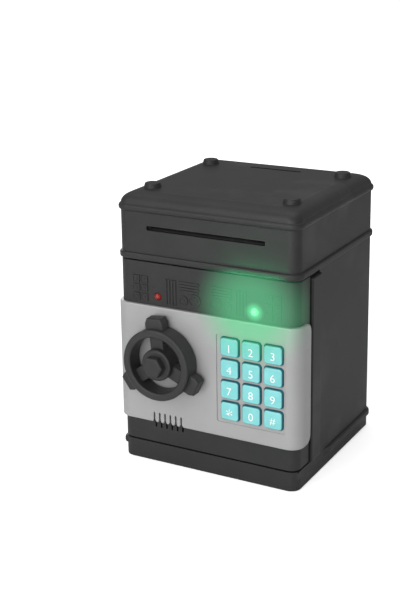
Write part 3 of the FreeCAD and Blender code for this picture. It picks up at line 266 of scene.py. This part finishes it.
def silver_paint(name):
    """Satin silver lacquer over ABS: fine flake, slow cloudiness, dark plastic where an edge is rubbed, and
    the green lamp's light painted into its colour and as emission.
    """
    tree = Tree(name)
    flake = tree.cells(5200)
    cloud = tree.span(tree.noise(22, 4), 0.3, 0.7)
    base = tree.blend(cloud, grey(0.325, (1, 1, 1.005)), grey(0.36))
    base = tree.blend(tree.span(flake, 0.1, 0.6, 0.0, 0.16), base, grey(0.62))
    edge = tree.span(tree.edges(0.35 * MM), 0.10, 0.42)
    worn = tree.calc("MULTIPLY", edge, tree.span(tree.noise(210, 5, 0.7), 0.50, 0.66))
    base = tree.blend(tree.calc("MULTIPLY", worn, 0.5), base, grey(0.16))
    # painted light: the green lamp's glow as emission and as green mixed into the silver's colour
    base = painted_green_tint(tree, base, painted_green_glow(tree, 0.16), 0.62)
    scuffs = tree.span(tree.noise(60, 6, 0.7, tree.stretch(1, 1, 5)), 0.52, 0.72)
    grain = tree.calc("ADD", tree.noise(1500, 2), tree.calc("MULTIPLY", flake, 0.5))
    tree.set(Base_Color=base, Roughness=tree.span(scuffs, 0.0, 1.0, 0.44, 0.52), Metallic=0.35,
             Normal=tree.bump(grain, 0.006 * MM, 0.8, tree.soft_edges(0.15 * MM)))
    return tree.material


def teal_key(name):
    """Milky teal key plastic: paler on its pressed face, with painted shade on its sides, glossy with fine
    scratches, and the green lamp's light painted on.
    """
    tree = Tree(name)
    shape = tree.node("ShaderNodeNewGeometry")
    local = tree.node("ShaderNodeVectorTransform", vector_type="NORMAL", convert_from="WORLD",
                      convert_to="OBJECT")
    tree.put(local.inputs[0], shape.outputs["Normal"])
    forward = tree.calc("MULTIPLY", tree.axis(local.outputs[0], "Y"), -1.0)
    facing = tree.span(forward, 0.60, 0.97)
    cloud = tree.span(tree.noise(120, 3), 0.3, 0.7)
    face = tree.blend(cloud, (0.20, 0.60, 0.60, 1), (0.235, 0.65, 0.655, 1))
    # painted shade: the cap's sides are given a darker teal than its face
    base = tree.blend(facing, (0.018, 0.15, 0.19, 1), face)
    # painted light: the green lamp's glow as emission and as green mixed into the key's colour
    base = painted_green_tint(tree, base, painted_green_glow(tree, 0.06), 0.5)
    scratch = tree.span(tree.noise(240, 5, 0.75, tree.stretch(1, 1, 7)), 0.58, 0.72)
    tree.set(Base_Color=base, Roughness=tree.span(scratch, 0, 1, 0.24, 0.42), Subsurface_Weight=0.25,
             Subsurface_Radius=(0.4, 1.0, 1.0), Subsurface_Scale=0.9 * MM, Coat_Weight=0.25,
             Coat_Roughness=0.12, Normal=tree.bump(tree.noise(420, 2), 0.006 * MM, 0.6))
    return tree.material


def white_ink(name):
    """Digit paint: off-white, slightly uneven."""
    tree = Tree(name)
    cloud = tree.span(tree.noise(900, 3), 0.3, 0.7)
    tree.set(Base_Color=tree.blend(cloud, grey(0.86), grey(0.95)), Roughness=0.45,
             Normal=tree.bump(tree.noise(2400, 2), 0.004 * MM, 0.5))
    return tree.material


def rubber(name, value=0.03):
    """Dull rubber or silicone with a little pale dust."""
    tree = Tree(name)
    dust = tree.span(tree.noise(180, 5, 0.7), 0.5, 0.72)
    base = tree.blend(dust, grey(value), grey(value * 2.6 + 0.01, (1.05, 1.0, 0.94)))
    tree.set(Base_Color=base, Roughness=tree.span(dust, 0, 1, 0.72, 0.9),
             Normal=tree.bump(tree.noise(1700, 3), 0.02 * MM, 0.7))
    return tree.material


def steel(name, value, rough, along=(1, 1, 1)):
    """Drawn or plated metal with fine lines and slight staining."""
    tree = Tree(name)
    lines = tree.noise(2300, 3, 0.6, tree.stretch(*along))
    stain = tree.span(tree.noise(95, 5, 0.65), 0.42, 0.7)
    base = tree.blend(stain, grey(value), grey(value * 0.72, (1.0, 0.97, 0.92)))
    shine = tree.span(lines, 0.3, 0.7, rough - 0.06, rough + 0.08)
    shine = tree.calc("ADD", shine, tree.calc("MULTIPLY", stain, 0.12))
    tree.set(Base_Color=base, Metallic=1.0, Roughness=shine, Normal=tree.bump(lines, 0.004 * MM, 0.7))
    return tree.material


def circuit_board(name):
    """Green solder mask with lighter copper runs under it."""
    tree = Tree(name)
    runs = tree.node("ShaderNodeTexBrick", offset=0.37)
    tree.put(runs.inputs["Vector"], tree.place)
    runs.inputs["Scale"].default_value = 260
    runs.inputs["Mortar Size"].default_value = 0.06
    mask = tree.blend(runs.outputs["Fac"], (0.012, 0.11, 0.045, 1), (0.02, 0.2, 0.085, 1))
    solder = tree.span(tree.cells(420), 0.05, 0.09, 1, 0)
    tree.set(Base_Color=tree.blend(solder, mask, (0.55, 0.52, 0.45, 1)), Roughness=0.35,
             Normal=tree.bump(runs.outputs["Fac"], 0.03 * MM, 0.6))
    return tree.material


def wire_skin(name, colour):
    """Soft PVC insulation with faint handling marks."""
    tree = Tree(name)
    mark = tree.span(tree.noise(300, 4), 0.4, 0.7)
    tree.set(Base_Color=tree.blend(mark, colour, dimmed(colour, 0.72)),
             Roughness=tree.span(mark, 0, 1, 0.38, 0.5),
             Normal=tree.bump(tree.noise(1500, 2), 0.01 * MM, 0.5))
    return tree.material


def cell_wrap(name):
    """Battery film in two plain bands, told apart along the cell."""
    tree = Tree(name)
    band_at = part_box("batteries")[1].x - 13 * MM
    band = tree.span(tree.axis(tree.place, "X"), band_at - 0.2 * MM, band_at)
    film = tree.blend(band, (0.02, 0.08, 0.22, 1), (0.55, 0.42, 0.12, 1))
    scuff = tree.span(tree.noise(140, 5, 0.7), 0.5, 0.75)
    tree.set(Base_Color=tree.blend(tree.calc("MULTIPLY", scuff, 0.35), film, grey(0.35)),
             Metallic=0.4, Roughness=tree.span(scuff, 0, 1, 0.25, 0.45),
             Normal=tree.bump(tree.noise(700, 2), 0.008 * MM, 0.5))
    return tree.material


def copper_winding(name):
    """Turns of enamelled copper wire, one over the other up the coil, with painted shade darkening the
    grooves between turns.
    """
    tree = Tree(name)
    turns = tree.node("ShaderNodeTexWave", bands_direction="Z")
    tree.put(turns.inputs["Vector"], tree.place)
    turns.inputs["Scale"].default_value = 520
    height = turns.outputs["Fac"]
    # painted shade: the colour darkens into the grooves between turns
    tree.set(Base_Color=tree.blend(height, (0.20, 0.06, 0.02, 1), (0.55, 0.22, 0.08, 1)), Metallic=0.9,
             Roughness=tree.span(tree.noise(400), 0.3, 0.7, 0.28, 0.42),
             Normal=tree.bump(height, 0.1 * MM, 0.7))
    return tree.material


def lamp_glass(name, colour, glow):
    """Tinted epoxy lens: clear and glossy, with its own light when lit."""
    tree = Tree(name)
    haze = tree.span(tree.noise(500, 3), 0.3, 0.7)
    tree.set(Base_Color=tree.blend(haze, colour, dimmed(colour, 0.85)),
             Roughness=tree.span(haze, 0, 1, 0.06, 0.14), Transmission_Weight=0.35, IOR=1.5,
             Emission_Color=colour, Emission_Strength=glow,
             Normal=tree.bump(tree.noise(1200, 2), 0.003 * MM, 0.4))
    return tree.material


def backdrop_paper(name):
    """Matte white backdrop paper, lifted to plain white away from the bank."""
    tree = Tree(name)
    tone = tree.span(tree.noise(6, 4), 0.3, 0.7)
    distance = tree.node("ShaderNodeVectorMath", operation="LENGTH")
    tree.put(distance.inputs[0], tree.place)
    lift = tree.span(distance.outputs["Value"], 0.05, 0.6, 0.60, 0.90)
    seen = tree.node("ShaderNodeLightPath").outputs["Is Camera Ray"]  # so that it lights nothing itself
    tree.set(Base_Color=tree.blend(tone, grey(0.88), grey(0.91)), Roughness=0.85, Specular_IOR_Level=0.2,
             Emission_Color=grey(1.0), Emission_Strength=tree.calc("MULTIPLY", lift, seen),
             Normal=tree.bump(tree.noise(500, 3), 0.02 * MM, 0.3))
    return tree.material


CASE = moulded("case_plastic", 0.021, 0.5)
# the door's plastic carries the green lamp's light, painted on as emission
DOOR = moulded("door_plastic", 0.021, 0.5, glow=0.33)
INNER = moulded("inner_plastic", 0.012, 0.6, wear=0.2)
GUIDE = moulded("guide_plastic", 0.16, 0.42, wear=0.2)
PULLEY = moulded("pulley_plastic", 0.62, 0.35, wear=0.1, tint=(1, 1, 0.93))
WHEEL = moulded("wheel_plastic", 0.027, 0.46, grain=0.006 * MM)
CONE = moulded("speaker_cone", 0.02, 0.75, wear=0.0)
SILVER = silver_paint("silver_paint")
KEY = teal_key("key_plastic")
INK = white_ink("digit_ink")
RUBBER = rubber("black_rubber")
SILICONE = rubber("silicone", 0.55)
SHAFT = steel("turned_steel", 0.56, 0.26, along=(0.15, 1, 1))
PLATED = steel("plated_steel", 0.62, 0.34)
SCREW = steel("black_screw", 0.20, 0.38)
BOARD = circuit_board("circuit_board")
RED_WIRE = wire_skin("red_wire", (0.42, 0.02, 0.015, 1))
BLACK_WIRE = wire_skin("black_wire", (0.02, 0.02, 0.022, 1))
CELL = cell_wrap("cell_wrap")
COIL = copper_winding("copper_winding")
GREEN_LENS = lamp_glass("green_lens", (0.24, 1.0, 0.42, 1), 0.55)
RED_LENS = lamp_glass("red_lens", (0.42, 0.02, 0.015, 1), 0.0)

FINISH = {
    "base_tray": CASE, "body_shell": CASE, "head_shell": CASE, "top_cap": CASE, "door_frame": DOOR,
    "battery_lid": CASE, "vault_floor": INNER, "mechanism_deck": INNER, "door_back_cover": INNER,
    "coin_chute": INNER, "bill_guide_lower": GUIDE, "bill_guide_upper": GUIDE, "roller_brackets": PLATED,
    "feed_pulley": PULLEY, "motor_pulley": PULLEY, "front_plate": SILVER, "handwheel": WHEEL,
    "wheel_cap": WHEEL, "rubber_feet": RUBBER, "feed_rollers": RUBBER, "pinch_rollers": RUBBER,
    "drive_belt": RUBBER, "keypad_mat": SILICONE, "wheel_shaft": PLATED, "latch_lever": PLATED,
    "feed_shaft": SHAFT, "pinch_shaft": SHAFT, "motor_shaft": SHAFT, "hinge_pins": PLATED,
    "lock_plunger": PLATED, "lock_spring": PLATED, "feed_motor": PLATED, "body_screws": SCREW,
    "head_screws": SCREW, "cap_screws": SCREW, "door_screws": SCREW, "battery_lid_screw": SCREW,
    "battery_contacts": PLATED, "batteries": CELL, "control_board": BOARD, "door_board": BOARD,
    "bill_sensor": BOARD, "wire_harness": RED_WIRE, "door_wires": BLACK_WIRE, "speaker": CONE,
    "lock_coil": COIL, "green_lamp": GREEN_LENS, "red_lamp": RED_LENS,
}


def finish_cad_nodes():
    """Gives each CAD node its material. What FINISH does not name is a key."""
    for name, node in NODES.items():
        node.data.materials.clear()
        node.data.materials.append(FINISH.get(name, KEY))


# ---------------------------------------------------------------- mesh helpers
def to_mesh(name, source):
    mesh = bpy.data.meshes.new(name)
    source.to_mesh(mesh)
    source.free()
    return mesh


def rounded_ring(half_x, half_z, radius, y, per_corner=8):
    """Points of a rounded rectangle that faces -Y, centred on the axis."""
    points = []
    for corner, (sx, sz) in enumerate(((1, 1), (-1, 1), (-1, -1), (1, -1))):
        for i in range(per_corner + 1):
            angle = math.radians(90 * corner + 90 * i / per_corner)
            x = sx * (half_x - radius) + radius * math.cos(angle)
            z = sz * (half_z - radius) + radius * math.sin(angle)
            points.append(Vector((x, y, z)))
    return points


def circle_ring(radius, y, count=32):
    """Points of a circle that faces -Y, centred on the axis."""
    return [Vector((radius * math.cos(a), y, radius * math.sin(a)))
            for a in (2 * math.pi * i / count for i in range(count))]


def loft(rings):
    """Skins a list of equal rings, and fills the first and last."""
    mesh = bmesh.new()
    rows = [[mesh.verts.new(p) for p in ring] for ring in rings]
    count = len(rings[0])
    for a, b in zip(rows[:-1], rows[1:]):
        for i in range(count):
            j = (i + 1) % count
            mesh.faces.new((a[i], a[j], b[j], b[i]))
    mesh.faces.new(rows[0])
    mesh.faces.new(rows[-1])
    bmesh.ops.recalc_face_normals(mesh, faces=mesh.faces)
    for face in mesh.faces:
        face.smooth = True
    return mesh


def text_mesh(label, size):
    """A raised character that faces -Y, centred on the origin, as a bmesh."""
    curve = bpy.data.curves.new("digit", "FONT")
    curve.body = label
    curve.size = size
    curve.extrude = DIGIT_RAISE
    curve.bevel_depth = DIGIT_BEVEL
    curve.offset = -DIGIT_SLIM
    curve.bevel_resolution = 2
    curve.resolution_u = 8
    holder = bpy.data.objects.new("digit", curve)
    bpy.context.scene.collection.objects.link(holder)
    mesh = bpy.data.meshes.new_from_object(holder.evaluated_get(bpy.context.evaluated_depsgraph_get()))
    bpy.data.objects.remove(holder)
    made = bmesh.new()
    made.from_mesh(mesh)
    bpy.data.meshes.remove(mesh)
    xs = [v.co.x for v in made.verts]
    ys = [v.co.y for v in made.verts]
    centre = Vector(((min(xs) + max(xs)) / 2, (min(ys) + max(ys)) / 2, 0))
    bmesh.ops.translate(made, verts=made.verts, vec=-centre)
    bmesh.ops.rotate(made, verts=made.verts, matrix=Matrix.Rotation(math.radians(90), 3, "X"))
    bmesh.ops.remove_doubles(made, verts=made.verts, dist=0.001 * MM)
    return made


def add_bmesh(target, source, move, index):
    """Copies source into target, moved, with a material index."""
    table = {v: target.verts.new(v.co + move) for v in source.verts}
    for face in source.faces:
        try:
            made = target.faces.new([table[v] for v in face.verts])
        except ValueError:  # the face is there already
            continue
        made.material_index = index
        made.smooth = face.smooth
    source.free()


# ---------------------------------------------------------------- keys
def cap_rings(flange_x, flange_z, front):
    """Rings from the back of the flange, over the rolled edge and in to the middle of the dished face."""
    back = front + CAP_BACK
    rings = [rounded_ring(flange_x, flange_z, FLANGE_CORNER, y) for y in (front + FLANGE_BACK, back)]
    rings.append(rounded_ring(CAP_X, CAP_Z, CAP_CORNER, back))
    for i in range(ROLL_STEPS + 1):
        angle = math.radians(90 * i / ROLL_STEPS)
        inset = CAP_ROLL * (1 - math.cos(angle))
        y = front + CAP_CROWN + CAP_ROLL * (1 - math.sin(angle))
        rings.append(rounded_ring(CAP_X - inset, CAP_Z - inset, CAP_CORNER - inset * 0.5, y))
    for k in CROWN_STEPS:
        x = (CAP_X - CAP_ROLL) * k
        z = (CAP_Z - CAP_ROLL) * k
        rings.append(rounded_ring(x, z, min(FACE_CORNER, x * 0.5), front + CAP_CROWN * k * k))
    return rings


def key_cap(label):
    """Pillowed cap with a crowned face, the flange behind it, its stem, and a raised digit."""
    node = f"key_{label}"
    lo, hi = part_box(node)
    front = lo.y
    cap = loft(cap_rings((hi.x - lo.x) / 2, (hi.z - lo.z) / 2, front))
    stem_front = front + FLANGE_BACK - 0.1 * MM
    stem = loft([circle_ring(STEM_R, stem_front), circle_ring(STEM_R, hi.y - STEM_TIP),
                 circle_ring(STEM_TIP_R, hi.y)])
    add_bmesh(cap, stem, Vector(), 0)
    digit = text_mesh(SIGNS.get(label, label), SIGN_SIZE.get(label, DIGIT_SIZE))
    add_bmesh(cap, digit, Vector((0, front + DIGIT_FRONT, -DIGIT_DROP)), 1)
    centre = middle(node)
    bmesh.ops.translate(cap, verts=cap.verts, vec=Vector((centre.x, 0, centre.z)))
    made = bpy.data.objects.new(f"keycap_{label}", to_mesh(node, cap))
    bpy.context.scene.collection.objects.link(made)
    for material in (KEY, INK):
        made.data.materials.append(material)
    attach(made, node)
    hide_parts(node)


# ---------------------------------------------------------------- stage and lights
FLOOR_R = 9.0
CAMERA_RAY_SKY = 1.0
SKY = 0.335  # strength of the sky as a light
AIM = (0, 0, 0.09)  # middle of the bank

# name, place, what it aims at, size, watts
STUDIO = (
    ("key_light", (-0.36, -1.3, 1.0), AIM, (1.3, 1.3), 12.0),
    ("low_light", (0.0, -1.35, 0.16), (0, 0, 0.06), (1.2, 0.3), 4.7),
    ("fill_light", (0.75, -1.15, 0.55), AIM, (0.9, 0.9), 3.4),
    ("back_light", (-0.95, 1.25, 0.9), AIM, (1.2, 1.2), 13.0),
    ("top_light", (-0.2, 0.25, 1.6), (0, 0, 0.1), (1.4, 1.4), 7.0),
)

GLOW_AT = LAMP_AT + Vector((-3.0, -5.5, 18.0)) * MM
GLOW_SIZE = (38 * MM, 4 * MM)
GLOW_WATTS = 0.0108


def backdrop():
    """Pale floor, a broad disc that runs out past the edge of the view."""
    mesh = bmesh.new()
    bmesh.ops.create_circle(mesh, cap_ends=True, segments=96, radius=FLOOR_R)
    floor = bpy.data.objects.new("backdrop", to_mesh("backdrop", mesh))
    floor.data.materials.append(backdrop_paper("backdrop_paper"))
    bpy.context.scene.collection.objects.link(floor)


def light_only(holder, name, nodes):
    """Limits a lamp to some of the CAD nodes."""
    lit = bpy.data.collections.new(name)
    for node in nodes:
        lit.objects.link(NODES[node])
    holder.light_linking.receiver_collection = lit


def softbox(name, at, aim, size, watts):
    """A rectangular lamp that looks at its aim."""
    lamp = bpy.data.lights.new(name, "AREA")
    lamp.shape = "RECTANGLE"
    lamp.size, lamp.size_y = size
    lamp.energy = watts
    holder = bpy.data.objects.new(name, lamp)
    holder.location = at
    holder.rotation_euler = (Vector(aim) - Vector(at)).to_track_quat("-Z", "Y").to_euler()
    bpy.context.scene.collection.objects.link(holder)
    return holder


def sky():
    """Even white all round: dim as a light, plain white where the camera sees it."""
    world = bpy.data.worlds.new("studio")
    world.use_nodes = True
    nodes = world.node_tree.nodes
    background = nodes["Background"]
    background.inputs["Color"].default_value = grey(1.0)
    strength = nodes.new("ShaderNodeMapRange")
    strength.inputs["To Min"].default_value = SKY
    strength.inputs["To Max"].default_value = CAMERA_RAY_SKY
    seen = nodes.new("ShaderNodeLightPath").outputs["Is Camera Ray"]
    world.node_tree.links.new(seen, strength.inputs["Value"])
    world.node_tree.links.new(strength.outputs[0], background.inputs["Strength"])
    bpy.context.scene.world = world


def lights():
    boxes = {name: softbox(name, *rest) for name, *rest in STUDIO}
    light_only(boxes["back_light"], "lit_from_behind", [node for node in NODES if node != "top_cap"])
    sky()


def lamp_glow():
    """The lit green lamp's light on the foot of the head above it. It rides on the door with its lens."""
    up_and_back = Vector((0.0, 1.0, 1.0))
    holder = softbox("green_glow", GLOW_AT, GLOW_AT + up_and_back, GLOW_SIZE, GLOW_WATTS)
    holder.data.color = (0.06, 1.0, 0.36)
    holder.visible_camera = False
    light_only(holder, "lit_by_the_lamp", ["head_shell"])
    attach(holder, "door")


# ---------------------------------------------------------------- camera
FOCAL_MM = 76.01
CAMERA_YAW = -0.51939  # radians round from straight ahead, towards the bank's right
CAMERA_PITCH = -0.26646  # radians, looking down
CAMERA_ROLL = 0.01801
CAMERA_AT = Vector((0.36579, BOX_Y - 0.72761, 0.37222))
FRAME_SHIFT = (("shift_x", 0.0276), ("shift_y", -0.1152))


def off_centre(lens, holder, axis, amount):
    """Shifts the frame while the camera stands at its own place. From anywhere else, the bank is centred."""
    drive = lens.driver_add(axis).driver
    place = drive.variables.new()
    place.name = "x"
    place.targets[0].id = holder
    place.targets[0].data_path = "location[0]"
    drive.expression = f"{amount} if fabs(x - {holder.location.x:.5f}) < 0.0005 else 0.0"


def camera():
    """Seen from the front right and a little above."""
    lens = bpy.data.cameras.new("view")
    lens.lens = FOCAL_MM
    lens.clip_start = 0.01
    holder = bpy.data.objects.new("view", lens)
    level = math.cos(CAMERA_PITCH)
    forward = Vector((math.sin(CAMERA_YAW) * level, math.cos(CAMERA_YAW) * level, math.sin(CAMERA_PITCH)))
    sideways = forward.cross(Vector((0, 0, 1))).normalized()
    right = Matrix.Rotation(CAMERA_ROLL, 3, forward) @ sideways
    up = right.cross(forward)
    basis = Matrix((right, up, -forward)).transposed()
    holder.matrix_world = Matrix.Translation(CAMERA_AT) @ basis.to_4x4()
    bpy.context.scene.collection.objects.link(holder)
    bpy.context.scene.camera = holder
    for axis, amount in FRAME_SHIFT:
        off_centre(lens, holder, axis, amount)


finish_cad_nodes()
for label in KEYS:
    key_cap(label)
backdrop()
lights()
lamp_glow()
camera()
bpy.context.scene.view_settings.view_transform = "Standard"
